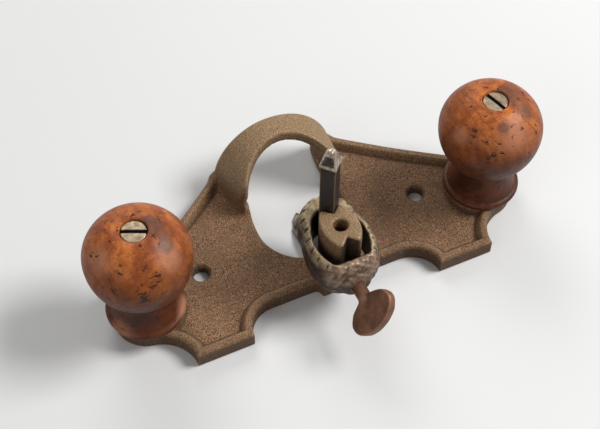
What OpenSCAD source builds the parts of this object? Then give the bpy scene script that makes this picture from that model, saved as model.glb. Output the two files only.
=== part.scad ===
// Hand router plane: an iron base with two wooden knobs, an arched throat and a clamped cutter.
// Millimetres, +Z up. The sole lies on z = 0. The origin is midway between the two sole screw
// holes. +X runs along the base to the right, +Y to the front, where the arch is.

/* [Base] */
// Distance between the axes of the two knobs
knob_spacing = 161.4; // [130:0.2:200]
// Place of the knob axes along Y
knob_y = -8.5; // [-14:0.1:-4]
// Radius of the round ends of the base
end_r = 14.5; // [11:0.1:18]
// Thickness of the sole plate
plate_t = 5; // [3:0.1:7]
// Height of the rim and of the knob bosses above the sole
rim_h = 8.6; // [7.2:0.1:12]
// Width of the rim
rim_w = 3.5; // [2:0.1:4.5]
// How far the knob bosses reach into the sunk field past the round ends
boss_reach = 0.5; // [0.2:0.1:2]
// Place of the straight heel edge along Y
heel_y = -39.7; // [-42:0.1:-36]
// Inner end of the heel edge
heel_inner_x = 44.2; // [40:0.1:52]
// Outer end of the heel edge
heel_outer_x = 69.8; // [62:0.1:74]
// Radius of the hollow between the heel and the round end
heel_hollow_r = 17; // [12:0.1:24]
// Place of the waist edge along Y, on both sides of the post
waist_y = -26.6; // [-29:0.1:-25]
// Radius of the waist hollow
waist_r = 13.4; // [11:0.1:15]
// Radius of the slight hollow of the front edge
front_r = 420; // [200:1:800]
// Distance between the two sole screw holes
hole_spacing = 105.2; // [80:0.2:118]
// Diameter of the sole screw holes
hole_d = 7; // [4:0.1:8.5]
// Diameter of the countersink at the plate's top
hole_head_d = 9.6; // [9:0.1:14]

/* [Throat and arch] */
// Diameter of the throat's round end
throat_d = 42.6; // [38:0.1:45]
// Centre of the throat's round end along Y
throat_y = 9; // [7:0.1:12]
// Width of the open mouth between the throat and the front edge
mouth_w = 39; // [34:0.1:42]
// Diameter of the round view through the arch from above
view_d = 45.5; // [40:0.1:46]
// Centre of the round view along Y
view_y = 11.9; // [9:0.1:15]
// Width of the slot that joins the throat to the post
slot_w = 14; // [13:0.1:18]
// Outer width of the arch
arch_w = 57.2; // [55:0.1:62]
// Thickness of the arch's legs
arch_leg_t = 5.3; // [3.5:0.1:5.4]
// Height of the arch's crown above the sole
arch_h = 34.7; // [31:0.1:42]
// Thickness of the arch's crown
arch_t = 5.1; // [3:0.1:7]
// Front of the arch at its crown along Y
arch_front_y = 46.6; // [46:0.1:54]
// Place across the base where the arch's front meets the front edges
arch_corner_x = 29.8; // [29.2:0.1:36]
// Place along Y where the arch's front meets the front edges
arch_corner_y = 44.8; // [40:0.1:45]
// Back end of the arch's legs along Y
arch_back_y = 20; // [14:0.1:26]
// Width across the back ends of the arch's legs
arch_back_w = 48; // [47.4:0.1:54]
// Place along Y where the arch's legs reach their full width
arch_full_y = 38.5; // [32:0.1:40]
// Height of the ledge inside the arch's legs above the plate
ledge_h = 0.6; // [0.3:0.1:1.2]

/* [Post] */
// Centre of the post along Y
post_y = -27.5; // [-29:0.1:-26]
// Width of the post
post_w = 16.3; // [14:0.1:18]
// Radius of the post's two rounded sides
post_side_r = 15.8; // [14:0.1:19]
// Height of the post above the sole
post_h = 46; // [42:0.1:54]
// Distance from the post's centre to the bottom of each V groove
groove_depth = 6.3; // [5:0.1:7]
// Distance from the post's centre to the blunted tips beside each groove
horn_y = 10.2; // [9:0.1:10.8]
// Diameter of the hole in the post's top
post_hole_d = 5.7; // [3:0.1:6.6]
// Depth of the hole in the post's top
post_hole_depth = 16; // [8:0.5:20]
// Radius of the round foot of the post
post_foot_r = 9.8; // [9:0.1:12]
// Distance from the post's centre to the back of its foot
post_foot_back = 3; // [2:0.1:5]
// Height of the post's tips above the sole, at the back
post_tip_z = 11; // [9.6:0.1:15]

/* [Knobs] */
// Largest radius of a knob
knob_r = 22.4; // [19:0.1:26]
// Height of a knob's widest place above the sole
knob_widest_z = 47.2; // [44:0.1:50]
// Height of the flattened dome above the widest place
knob_dome_h = 18.9; // [18:0.1:23]
// Depth of the full bowl below the widest place
knob_bowl_h = 24.6; // [22:0.1:27]
// Radius of a knob's neck
knob_neck_r = 12.4; // [10:0.1:14]
// Radius of a knob's foot at its rounded edge
knob_foot_r = 17.1; // [16.4:0.1:19]
// Height of the rounded edge of a knob's foot
knob_foot_h = 3.4; // [2:0.1:6]
// Radius of a knob's flat seat on its boss
knob_seat_r = 15.4; // [13:0.1:16]
// Radius of the flat round the nut on a knob's top
knob_flat_r = 8.7; // [7.4:0.1:11]

/* [Studs and nuts] */
// Diameter of the studs
stud_d = 5.6; // [4:0.1:6.5]
// Metal left under the studs in the base
stud_floor_t = 1.5; // [0.8:0.1:3]
// Depth of a stud inside its nut
stud_grip = 13; // [8:0.5:16]
// Diameter of a nut's head
nut_head_d = 10.7; // [9.6:0.1:14]
// Thickness of a nut's head
nut_head_t = 3; // [2.2:0.1:4]
// Diameter of a nut's sleeve
nut_sleeve_d = 8; // [7.2:0.1:9]
// Length of a nut's sleeve
nut_sleeve_len = 18; // [17:0.5:24]
// Depth of a nut's head below the top of its knob
nut_sink = 0.6; // [0.2:0.1:2]
// Width of a nut's screwdriver slot
nut_slot_w = 1.6; // [0.8:0.1:2.2]
// Depth of a nut's screwdriver slot
nut_slot_depth = 1.3; // [0.6:0.1:1.8]
// Turn of the left nut's slot
left_slot_turn = -24; // [-90:1:90]
// Turn of the right nut's slot
right_slot_turn = -73; // [-90:1:90]

/* [Cutter] */
// Side of the square shank
shank_w = 6.5; // [5.5:0.1:7]
// Height of the cutter from its edge to its top
cutter_h = 81.2; // [76:0.1:100]
// Height of the cutter's edge above the sole at rest
cutter_rest_z = 0.5; // [0.2:0.1:2]
// Side of the spread top of the shank
head_w = 7.4; // [7:0.1:9.5]
// Height of the pyramid on the shank
head_h = 7.6; // [5:0.1:12]
// Height of the spread band under the pyramid
head_band_h = 3; // [1:0.1:5]
// Side of the blunt tip of the pyramid
head_tip_w = 2; // [0.8:0.1:4]
// Reach of the blade's tip from the shank's axis
blade_reach = 30.3; // [25:0.1:38]
// Width of the blade
blade_w = 11.6; // [8:0.1:12.6]
// Thickness of the blade
blade_t = 3.2; // [2:0.1:4.2]
// Angle of the ground bevel
bevel_angle = 25; // [20:1:40]
// Height of the bend between the foot and the shank
bend_h = 12; // [8:0.1:15]

/* [Clamp] */
// Height of the collar's lower edge above the sole
collar_z = 18.9; // [18:0.1:22]
// Height of the collar
collar_h = 19.4; // [16:0.1:22]
// Inner width of the collar
collar_inner_w = 22.6; // [21:0.1:25]
// Inner radius of the collar's two sides
collar_side_r = 21; // [19:0.1:26]
// Distance of the collar's widest place behind the post's centre
collar_side_back = 1; // [0:0.1:2]
// Inner radius of the collar's nose
collar_nose_r = 9; // [8:0.1:9.8]
// Wall of the collar at half its height
collar_wall = 4; // [3.4:0.1:5.5]
// Wall of the collar at its nose
collar_front_t = 8.8; // [5:0.1:10]
// Wall of the collar at the thumbscrew
collar_back_t = 4.6; // [3.5:0.1:6]
// How far the wall bulges at half its height
collar_bulge = 2.4; // [1:0.1:2.6]
// Diameter of the boss round the thumbscrew
collar_boss_d = 12; // [10.4:0.1:12.8]
// Length of the boss round the thumbscrew
collar_boss_len = 1.4; // [0.6:0.1:2.4]
// Way that the collar opens when the thumbscrew is loosened
collar_travel = 1.905; // [1:0.005:2.6]
// Radius of the notches across the collar's edges
notch_r = 0.9; // [0.4:0.1:1.1]
// Length of a notch
notch_len = 5; // [3:0.1:5.6]
// Lean of a notch in over the collar's edge
notch_lean = 30; // [15:1:45]
// Distance of the notches' middle from half the collar's height
notch_rise = 8.8; // [7:0.1:9.2]
// Turn from one notch to the next round the collar's nose
nose_notch_step = 26; // [20:1:38]
// Turn from one notch to the next along the collar's sides
side_notch_step = 13; // [10:0.5:20]
// Turn of the hindmost notch on a side, from straight across
side_notch_back = -39; // [-44:1:-30]
// Turn of the foremost notch on a side, from straight across
side_notch_front = 26; // [8:1:27]
// Height of the thumbscrew's axis above the sole
thumb_z = 25.4; // [24.6:0.1:27]
// Diameter of the thumbscrew's stem
thumb_d = 6; // [4.4:0.1:6.6]
// Width of the thumbscrew's oval disc across its stem
thumb_disc_w = 24; // [16:0.1:26]
// Length of the thumbscrew's oval disc along its stem
thumb_disc_len = 15.2; // [12:0.1:24]
// Thickness of the thumbscrew's disc
thumb_disc_t = 3.6; // [2.4:0.1:5]
// Way that the stem runs out into the disc
thumb_root = 3; // [2:0.1:5]
// Free neck between the collar's boss and the disc
thumb_neck = 6.1; // [2.4:0.1:10]
// Turn of the disc at rest
thumb_turn = -52.5; // [-90:0.5:90]
// Flat on the thumbscrew's tip
thumb_tip_d = 2.4; // [1.6:0.1:3]

/* [Fits] */
// Gap between sliding faces
slide_gap = 0.1; // [0.05:0.01:0.3]
// Gap left behind the post when the collar is open all the way
open_gap = 0.5; // [0.3:0.05:1]
// Gap all round a screw in its thread
thread_gap = 0.05; // [0.02:0.01:0.1]
// Gap all round a stud or a nut in wood
wood_gap = 0.3; // [0.2:0.05:0.5]

/* [Hidden] */
$fn = 96;
cut = 1;
quarter_turn = 90;
half_turn = 180;
end_skip = 9;
arch_skip = 1.5;
nose_notch_reach = 80;
oval_sides = 48;
nose_notch_rows = floor(nose_notch_reach / nose_notch_step);
knob_x = knob_spacing / 2;
knob_at = [knob_x, knob_y];
heel_corner = [heel_outer_x, heel_y];
arch_corner = [arch_corner_x, arch_corner_y];
hollow_at = circles_meet(knob_at, end_r + heel_hollow_r, heel_corner, heel_hollow_r, 1);
front_at = circles_meet(knob_at, end_r + front_r, arch_corner, front_r, -1);
waist_at = [
    heel_inner_x - sqrt(pow(waist_r, 2) - pow(heel_y - waist_y + waist_r, 2)),
    waist_y - waist_r
];
arch_sag = arch_front_y - arch_corner_y;
arch_front_r = (pow(arch_corner_x, 2) + pow(arch_sag, 2)) / (2 * arch_sag);
arch_front_at = [0, arch_front_y - arch_front_r];
arch_r = arch_w / 2;
arch_z = arch_h - arch_r;
tunnel_r = arch_r - arch_leg_t;
tunnel_z = arch_h - arch_t - tunnel_r;
leg_slope = (arch_r - arch_back_w / 2) / (arch_full_y - arch_back_y);
ledge_z = plate_t + ledge_h;
boss_r = end_r + boss_reach;
post_side_x = post_side_r - post_w / 2;
groove_w = 2 * (horn_y - groove_depth + cut);
slot_flank = slot_w / 2;

flat_turn = acos(knob_flat_r / knob_r);
knob_top_z = knob_widest_z + knob_dome_h * sin(flat_turn);
nut_top_z = knob_top_z - nut_sink;
nut_seat_z = nut_top_z - nut_head_t;
nut_end_z = nut_seat_z - nut_sleeve_len;
stud_top_z = nut_end_z + stud_grip;
neck_turn = acos(knob_neck_r / knob_r);
neck_z = knob_widest_z - knob_bowl_h * sin(neck_turn);
foot_top_z = rim_h + knob_foot_h;
foot_mid_z = rim_h + knob_foot_h / 2;
knob_bore_r = stud_d / 2 + wood_gap;
sleeve_bore_r = nut_sleeve_d / 2 + wood_gap;
head_bore_r = nut_head_d / 2 + wood_gap;

half_diagonal = shank_w / sqrt(2);
shank_y = post_y + groove_depth + half_diagonal + slide_gap * sqrt(2);
shank_top = cutter_h - head_h;
nose_tip_y = shank_y + half_diagonal + slide_gap;
nose_y = nose_tip_y - collar_nose_r;
side_y = post_y - collar_side_back;
side_x = collar_side_r - collar_inner_w / 2;
collar_mid_z = collar_z + collar_h / 2;
collar_inner_back = post_y - horn_y - collar_travel - open_gap;
collar_back = collar_inner_back - collar_back_t;
boss_end = collar_back - collar_boss_len;
bulge_r = (pow(collar_h / 2, 2) + pow(collar_bulge, 2)) / (2 * collar_bulge);
nose_outer_r = collar_nose_r + collar_wall;
nose_outer_y = nose_tip_y + collar_front_t - nose_outer_r;
side_outer_r = collar_side_r + collar_wall;
notch_in = bulge_r - reach(bulge_r, notch_rise);
thumb_tip_y = post_y - groove_depth - thumb_tip_d / 2 - slide_gap;
thumb_cone = (thumb_d - thumb_tip_d) / 2;
disc_edge_y = boss_end - thumb_neck;
disc_y = disc_edge_y - thumb_disc_len / 2;

// Angle of a direction, between -180 and 180.
function turn(v) = atan2(v[1], v[0]);

// Angle of a direction that points to the left, between 90 and 270.
function left_turn(v) = half_turn + turn(-v);

// Points of an arc round c from angle a to angle b.
function arc(c, r, a, b, steps) =
    [for (i = [0:steps]) c + r * [cos(a + (b - a) * i / steps), sin(a + (b - a) * i / steps)]];

// The same points on the other side of X = 0, in the opposite order.
function mirrored(p) = [for (i = [len(p) - 1:-1:0]) [-p[i][0], p[i][1]]];

// Point at distance a from p and b from q, on the given side of the line from p to q.
function circles_meet(p, a, q, b, side) =
    let(d = norm(q - p), u = (q - p) / d, s = (a * a - b * b + d * d) / (2 * d))
    p + s * u + side * sqrt(a * a - s * s) * [-u[1], u[0]];

// How far a line at height y above a circle's centre runs from the centre to the circle.
function reach(r, y) = sqrt(r * r - y * y);

// Right half of the base's outline, drawn in by the given inset: waist, heel, hollow, round end,
// front edge and arch front.
function base_half(inset) =
    let(y = heel_y + inset,
        inner = waist_at[0] + reach(waist_r + inset, y - waist_at[1]),
        outer = hollow_at[0] - reach(heel_hollow_r + inset, y - hollow_at[1]),
        corner = circles_meet(front_at, front_r + inset, arch_front_at, arch_front_r - inset, -1))
    concat(
        arc(waist_at, waist_r + inset, quarter_turn, turn([inner, y] - waist_at), 8),
        arc(hollow_at, heel_hollow_r + inset, left_turn([outer, y] - hollow_at),
            left_turn(knob_at - hollow_at), 7),
        arc(knob_at, end_r - inset, turn(hollow_at - knob_at) + end_skip,
            turn(front_at - knob_at) - end_skip, 12),
        arc(front_at, front_r + inset, left_turn(knob_at - front_at),
            left_turn(corner - front_at), 5),
        arc(arch_front_at, arch_front_r - inset, turn(corner - arch_front_at) + arch_skip,
            quarter_turn - arch_skip, 3));

module base_outline(inset) {
    half = base_half(inset);
    polygon(concat(half, mirrored(half)));
}

// The sunk field of the plate inside the rim, the knob bosses and the foot of the post.
module sunk_field() {
    difference() {
        base_outline(rim_w);
        for (side = [-1, 1])
            translate([side * knob_x, knob_y]) circle(r = boss_r);
        translate([0, post_y]) circle(r = post_foot_r);
    }
}

// The arch seen from the front, with upright legs below its round top.
module arch_face() {
    half = concat([[arch_r, 0]], arc([0, arch_z], arch_r, 0, quarter_turn - arch_skip, 14));
    polygon(concat(half, mirrored(half)));
}

// The opening under the arch, down to the ledge at each leg.
module tunnel_face() {
    intersection() {
        translate([0, tunnel_z]) circle(r = tunnel_r);
        translate([-arch_r, ledge_z]) square([arch_w, arch_h]);
    }
}

// The arch seen from above: its legs taper to their back ends.
module arch_plan() {
    half = [
        [arch_back_w / 2 - cut * leg_slope, arch_back_y - cut],
        [arch_r + cut, arch_full_y + cut / leg_slope],
        [arch_r + cut, arch_front_y + cut]
    ];
    polygon(concat(half, mirrored(half)));
}

module arch() {
    intersection() {
        translate([0, arch_front_y + cut, 0]) rotate([90, 0, 0])
            linear_extrude(arch_front_y - arch_back_y + cut) arch_face();
        linear_extrude(arch_h + cut) base_outline(0);
        linear_extrude(arch_h + cut) arch_plan();
    }
}

// A square-cornered groove whose bottom is at the given place and which opens along +Y.
module groove(bottom_y, wide) {
    polygon([[0, bottom_y], [wide / 2, bottom_y + wide / 2], [-wide / 2, bottom_y + wide / 2]]);
}

module post_section() {
    intersection() {
        translate([-post_side_x, 0]) circle(r = post_side_r);
        translate([post_side_x, 0]) circle(r = post_side_r);
        translate([-post_w / 2, -horn_y]) square([post_w, 2 * horn_y]);
    }
}

module base_casting() {
    color([0.40, 0.31, 0.25]) difference() {
        union() {
            difference() {
                linear_extrude(rim_h) base_outline(0);
                translate([0, 0, plate_t]) linear_extrude(rim_h) sunk_field();
            }
            arch();
            translate([0, post_y, 0]) cylinder(r = post_foot_r, h = rim_h);
            translate([0, post_y, 0]) linear_extrude(post_h) post_section();
        }
        translate([0, throat_y, -cut]) cylinder(d = throat_d, h = ledge_z + 2 * cut);
        translate([0, view_y, tunnel_z]) cylinder(d = view_d, h = arch_h);
        translate([-mouth_w / 2, throat_y, -cut])
            cube([mouth_w, arch_front_y - throat_y + cut, tunnel_z + cut]);
        translate([0, arch_front_y + cut, 0]) rotate([90, 0, 0])
            linear_extrude(arch_front_y - arch_back_y + 2 * cut) tunnel_face();
        translate([0, 0, -cut]) linear_extrude(post_h + 2 * cut)
            groove(post_y + groove_depth, slot_w);
        translate([-slot_flank, post_y + groove_depth + slot_flank, -cut])
            cube([slot_w, throat_y - post_y - groove_depth - slot_flank, rim_h + 2 * cut]);
        translate([0, 0, -cut]) mirror([0, 1, 0]) linear_extrude(post_h + 2 * cut)
            groove(groove_depth - post_y, groove_w);
        translate([-post_w, post_y - post_foot_back - post_w, -cut])
            cube([2 * post_w, post_w, post_tip_z + cut]);
        translate([0, post_y, post_h - post_hole_depth])
            cylinder(d = post_hole_d, h = post_hole_depth + cut);
        for (side = [-1, 1]) {
            translate([side * hole_spacing / 2, 0, -cut])
                cylinder(d = hole_d, h = plate_t + 2 * cut);
            translate([side * hole_spacing / 2, 0, plate_t - (hole_head_d - hole_d) / 2])
                cylinder(d1 = hole_d, d2 = hole_head_d + 2 * cut,
                    h = (hole_head_d - hole_d) / 2 + cut);
            translate([side * knob_x, knob_y, stud_floor_t])
                cylinder(d = stud_d + 2 * thread_gap, h = rim_h);
        }
    }
}

// Half profile of a knob: seat, rounded foot, hollow neck, full bowl, dome and flat top.
module knob_profile() {
    polygon(concat(
        [[0, rim_h], [knob_seat_r, rim_h]],
        [for (a = [-75:15:75])
            [knob_seat_r + (knob_foot_r - knob_seat_r) * cos(a),
                foot_mid_z + knob_foot_h / 2 * sin(a)]],
        [for (a = [0:10:80])
            [knob_seat_r - (knob_seat_r - knob_neck_r) * sin(a),
                foot_top_z + (neck_z - foot_top_z) * a / 90]],
        [for (i = [8:-1:0])
            [knob_r * cos(neck_turn * i / 8), knob_widest_z - knob_bowl_h * sin(neck_turn * i / 8)]],
        [for (i = [1:8])
            [knob_r * cos(flat_turn * i / 8), knob_widest_z + knob_dome_h * sin(flat_turn * i / 8)]],
        [[0, knob_top_z]]
    ));
}

module knob(x) {
    color([0.66, 0.36, 0.16]) translate([x, knob_y, 0]) difference() {
        rotate_extrude() knob_profile();
        translate([0, 0, rim_h - cut]) cylinder(r = knob_bore_r, h = knob_top_z);
        translate([0, 0, nut_end_z - cut]) cylinder(r = sleeve_bore_r, h = knob_top_z);
        translate([0, 0, nut_seat_z]) cylinder(r = head_bore_r, h = knob_top_z);
    }
}

module stud(x) {
    color([0.45, 0.45, 0.46]) translate([x, knob_y, stud_floor_t])
        cylinder(d = stud_d, h = stud_top_z - stud_floor_t);
}

module nut(x, slot_turn) {
    color([0.70, 0.66, 0.60]) translate([x, knob_y, 0]) difference() {
        union() {
            translate([0, 0, nut_seat_z]) cylinder(d = nut_head_d, h = nut_head_t);
            translate([0, 0, nut_end_z]) cylinder(d = nut_sleeve_d, h = nut_sleeve_len);
        }
        translate([0, 0, nut_end_z - cut])
            cylinder(d = stud_d + 2 * thread_gap, h = stud_grip + 2 * cut);
        translate([0, 0, nut_top_z - nut_slot_depth]) rotate([0, 0, slot_turn])
            translate([-nut_head_d, -nut_slot_w / 2, 0])
                cube([2 * nut_head_d, nut_slot_w, nut_head_t]);
    }
}

module left_knob() {
    knob(-knob_x);
}

module right_knob() {
    knob(knob_x);
}

module left_stud() {
    stud(-knob_x);
}

module right_stud() {
    stud(knob_x);
}

module left_nut() {
    nut(-knob_x, left_slot_turn);
}

module right_nut() {
    nut(knob_x, right_slot_turn);
}

// Inner outline of the collar: a round nose and two rounded sides, cut off straight at the back.
module collar_opening() {
    translate([0, nose_y]) circle(r = collar_nose_r);
    intersection() {
        translate([-side_x, side_y]) circle(r = collar_side_r);
        translate([side_x, side_y]) circle(r = collar_side_r);
        translate([-collar_inner_w, collar_inner_back])
            square([2 * collar_inner_w, nose_y + collar_nose_r / 4 - collar_inner_back]);
    }
}

// A round body of the collar's height whose wall bulges out to radius r at half height.
module barrel(r) {
    rotate_extrude() intersection() {
        translate([0, -collar_h / 2]) square([r, collar_h]);
        translate([r - bulge_r, 0]) circle(r = bulge_r);
    }
}

module collar_body() {
    translate([0, nose_outer_y, collar_mid_z]) barrel(nose_outer_r);
    intersection() {
        translate([-side_x, side_y, collar_mid_z]) barrel(side_outer_r);
        translate([side_x, side_y, collar_mid_z]) barrel(side_outer_r);
        translate([-collar_inner_w, collar_back, collar_z])
            cube([2 * collar_inner_w, nose_outer_y - collar_back, collar_h]);
    }
    translate([0, collar_back + cut, thumb_z]) rotate([90, 0, 0])
        cylinder(d = collar_boss_d, h = collar_boss_len + cut);
}

// A notch across each edge of the barrel of radius r round c, at angle a.
module notch_pair(c, r, a) {
    for (side = [-1, 1])
        translate([c[0], c[1], collar_mid_z + side * notch_rise]) rotate([0, 0, a])
            translate([r - notch_in, 0, 0]) rotate([0, -side * notch_lean, 0])
                cylinder(r = notch_r, h = notch_len, center = true);
}

module collar_notches() {
    for (i = [-nose_notch_rows:nose_notch_rows])
        notch_pair([0, nose_outer_y], nose_outer_r, quarter_turn + i * nose_notch_step);
    for (a = [side_notch_back:side_notch_step:side_notch_front])
        for (side = [0, 1])
            mirror([side, 0, 0]) notch_pair([side_x, side_y], side_outer_r, half_turn - a);
}

module clamp_collar() {
    color([0.50, 0.44, 0.33]) difference() {
        collar_body();
        translate([0, 0, collar_z - cut]) linear_extrude(collar_h + 2 * cut) collar_opening();
        collar_notches();
        translate([0, collar_inner_back + cut, thumb_z]) rotate([90, 0, 0])
            cylinder(d = thumb_d + 2 * thread_gap, h = collar_back_t + collar_boss_len + 2 * cut);
    }
}

module thumb_oval() {
    polygon([for (i = [1:oval_sides])
        [thumb_disc_w / 2 * cos(2 * half_turn * i / oval_sides),
            thumb_disc_len / 2 * sin(2 * half_turn * i / oval_sides)]]);
}

module thumbscrew() {
    color([0.45, 0.31, 0.24]) translate([0, 0, thumb_z]) {
        translate([0, thumb_tip_y - thumb_cone, 0]) rotate([90, 0, 0])
            cylinder(d = thumb_d, h = thumb_tip_y - thumb_cone - disc_edge_y);
        translate([0, disc_edge_y, 0]) rotate([90, 0, 0])
            cylinder(d1 = thumb_d, d2 = thumb_disc_t / 2, h = thumb_root);
        translate([0, thumb_tip_y, 0]) rotate([90, 0, 0])
            cylinder(d1 = thumb_tip_d, d2 = thumb_d, h = thumb_cone);
        translate([0, disc_y, 0]) rotate([0, thumb_turn, 0])
            linear_extrude(thumb_disc_t, center = true) thumb_oval();
    }
}

// The ground bevel of one side of the blade's point.
module bevel_cut(side) {
    translate([0, blade_reach, 0]) rotate([0, 0, -45 * side]) rotate([-bevel_angle, 0, 0])
        translate([-blade_reach, -blade_t / sin(bevel_angle), 0])
            cube([2 * blade_reach, 2 * blade_reach, blade_reach]);
}

module blade() {
    difference() {
        linear_extrude(blade_t)
            polygon([[-shank_w / 2, 0], [shank_w / 2, 0], [blade_w / 2, blade_reach / 3],
                [blade_w / 2, blade_reach - blade_w / 2], [0, blade_reach],
                [-blade_w / 2, blade_reach - blade_w / 2], [-blade_w / 2, blade_reach / 3]]);
        bevel_cut(1);
        bevel_cut(-1);
    }
}

module cutter() {
    color([0.34, 0.32, 0.31]) translate([0, shank_y, cutter_rest_z]) {
        blade();
        rotate([0, 0, 45]) translate([-shank_w / 2, -shank_w / 2, 0])
            cube([shank_w, shank_w, shank_top]);
        translate([-shank_w / 2, 0, 0]) rotate([90, 0, 90]) linear_extrude(shank_w)
            polygon([[0, 0], [blade_reach / 3, 0], [blade_reach / 3, blade_t],
                [half_diagonal, bend_h / 2], [0, bend_h]]);
        translate([0, 0, shank_top - head_band_h])
            cylinder(r1 = half_diagonal, r2 = head_w / sqrt(2), h = head_band_h, $fn = 4);
        translate([0, 0, shank_top])
            cylinder(r1 = head_w / sqrt(2), r2 = head_tip_w / sqrt(2), h = head_h, $fn = 4);
    }
}

base_casting();
left_knob();
right_knob();
left_stud();
right_stud();
left_nut();
right_nut();
clamp_collar();
thumbscrew();
cutter();
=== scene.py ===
# %% [markdown]
# # A hand router plane
#
# This small plane cuts the floor of a groove to one even depth. An iron base carries two turned
# wooden knobs, an arch keeps the view of the cutting edge open, and a collar with a thumbscrew
# holds the cutter against a post. The imported model gives the bodies, the box and the places. This
# lesson repeats its sizes in millimetres and gives each piece the soft edges, the worn skin and the
# light that an old tool has.
#
# The first step brings in the imported model and keeps its meshes, with each place moved into their
# points.

import bpy
import numpy as np
from mathutils import Matrix, Vector


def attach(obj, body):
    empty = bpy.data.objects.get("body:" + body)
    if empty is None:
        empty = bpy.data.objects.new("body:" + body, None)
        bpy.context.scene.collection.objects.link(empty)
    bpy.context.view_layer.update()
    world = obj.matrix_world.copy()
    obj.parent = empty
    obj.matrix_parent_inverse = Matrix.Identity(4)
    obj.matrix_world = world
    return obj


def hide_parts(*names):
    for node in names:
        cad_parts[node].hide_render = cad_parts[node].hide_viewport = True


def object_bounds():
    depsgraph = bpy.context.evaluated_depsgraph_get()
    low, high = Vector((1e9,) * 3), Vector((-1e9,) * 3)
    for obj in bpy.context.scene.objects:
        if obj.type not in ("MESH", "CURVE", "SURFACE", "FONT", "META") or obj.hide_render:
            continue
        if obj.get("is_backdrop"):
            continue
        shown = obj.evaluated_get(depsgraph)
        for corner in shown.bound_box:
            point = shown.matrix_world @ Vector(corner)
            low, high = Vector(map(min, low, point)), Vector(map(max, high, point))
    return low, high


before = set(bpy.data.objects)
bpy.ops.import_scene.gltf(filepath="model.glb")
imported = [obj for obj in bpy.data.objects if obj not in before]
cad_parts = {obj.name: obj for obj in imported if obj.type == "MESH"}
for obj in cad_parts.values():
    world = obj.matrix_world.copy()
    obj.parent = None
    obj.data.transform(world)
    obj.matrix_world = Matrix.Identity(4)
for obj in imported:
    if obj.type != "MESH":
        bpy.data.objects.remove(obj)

for name in ("Cube", "Light", "Camera"):
    if name in bpy.data.objects:
        bpy.data.objects.remove(bpy.data.objects[name])
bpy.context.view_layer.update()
print("nodes:", ", ".join(sorted(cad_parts)))

# %% [markdown]
# ## The camera
#
# The object is seen from the left and from well above, through a fairly long lens. The place and
# the turn of the camera were fitted to the knobs, the screw heads and the outline of the base, so
# the numbers are a measurement. Yaw and pitch give the line of sight, and roll tips the picture
# slightly.

# %% Place the camera
MM = 0.001
yaw, pitch, roll = np.radians([25.246, 54.105, 0.665])
ahead = np.array([np.sin(yaw) * np.cos(pitch), np.cos(yaw) * np.cos(pitch), -np.sin(pitch)])
level = np.array([np.cos(yaw), -np.sin(yaw), 0.0])
upward = np.cross(level, ahead)
right = np.cos(roll) * level + np.sin(roll) * upward
top = np.cross(right, ahead)
camera = bpy.data.objects.new("camera", bpy.data.cameras.new("camera"))
bpy.context.scene.collection.objects.link(camera)
camera.data.lens = 77.03
camera.data.sensor_width = 36.0
camera.data.clip_end = 20.0
turned = Matrix(np.column_stack([right, top, -ahead]).tolist()).to_4x4()
camera.matrix_world = Matrix.Translation((-0.14436, -0.29478, 0.47168)) @ turned
bpy.context.scene.camera = camera
print("the camera is", round(camera.location.length * 1000), "mm from the origin")

# %% [markdown]
# ## Solids as fields
#
# A casting has no sharp corners: sand and molten iron round every edge and fill every inner
# corner. Such a solid is easiest to write as a field, a number for each point in space that is
# negative in the metal and about the distance to its skin. The larger of two fields is what two
# solids share, and the smaller is both together. A soft larger and a soft smaller round the edge
# where the two meet, by a width that is given in millimetres.

# %% Helpers for fields
def soft_max(a, b, width):
    """The larger of two fields, with a parabola of the given width in place of the crease."""
    share = np.clip(0.5 + 0.5 * (a - b) / width, 0.0, 1.0)
    return b + (a - b) * share + width * share * (1.0 - share)


def soft_min(a, b, width):
    """The smaller of two fields, rounded in the same way."""
    return -soft_max(-a, -b, width)


def ramp(value, start, end):
    """Rises smoothly from 0 at start to 1 at end: 3 t t - 2 t t t of the part of the way."""
    t = np.clip((value - start) / (end - start), 0.0, 1.0)
    return t * t * (3.0 - 2.0 * t)


def slopes(field, points, reach):
    """The field's slope along X, Y and Z from the difference over a short way each side."""
    steps = reach * np.eye(3)
    return np.stack([(field(*(points + s).T) - field(*(points - s).T)) / (2 * reach)
                     for s in steps], axis=1)


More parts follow.
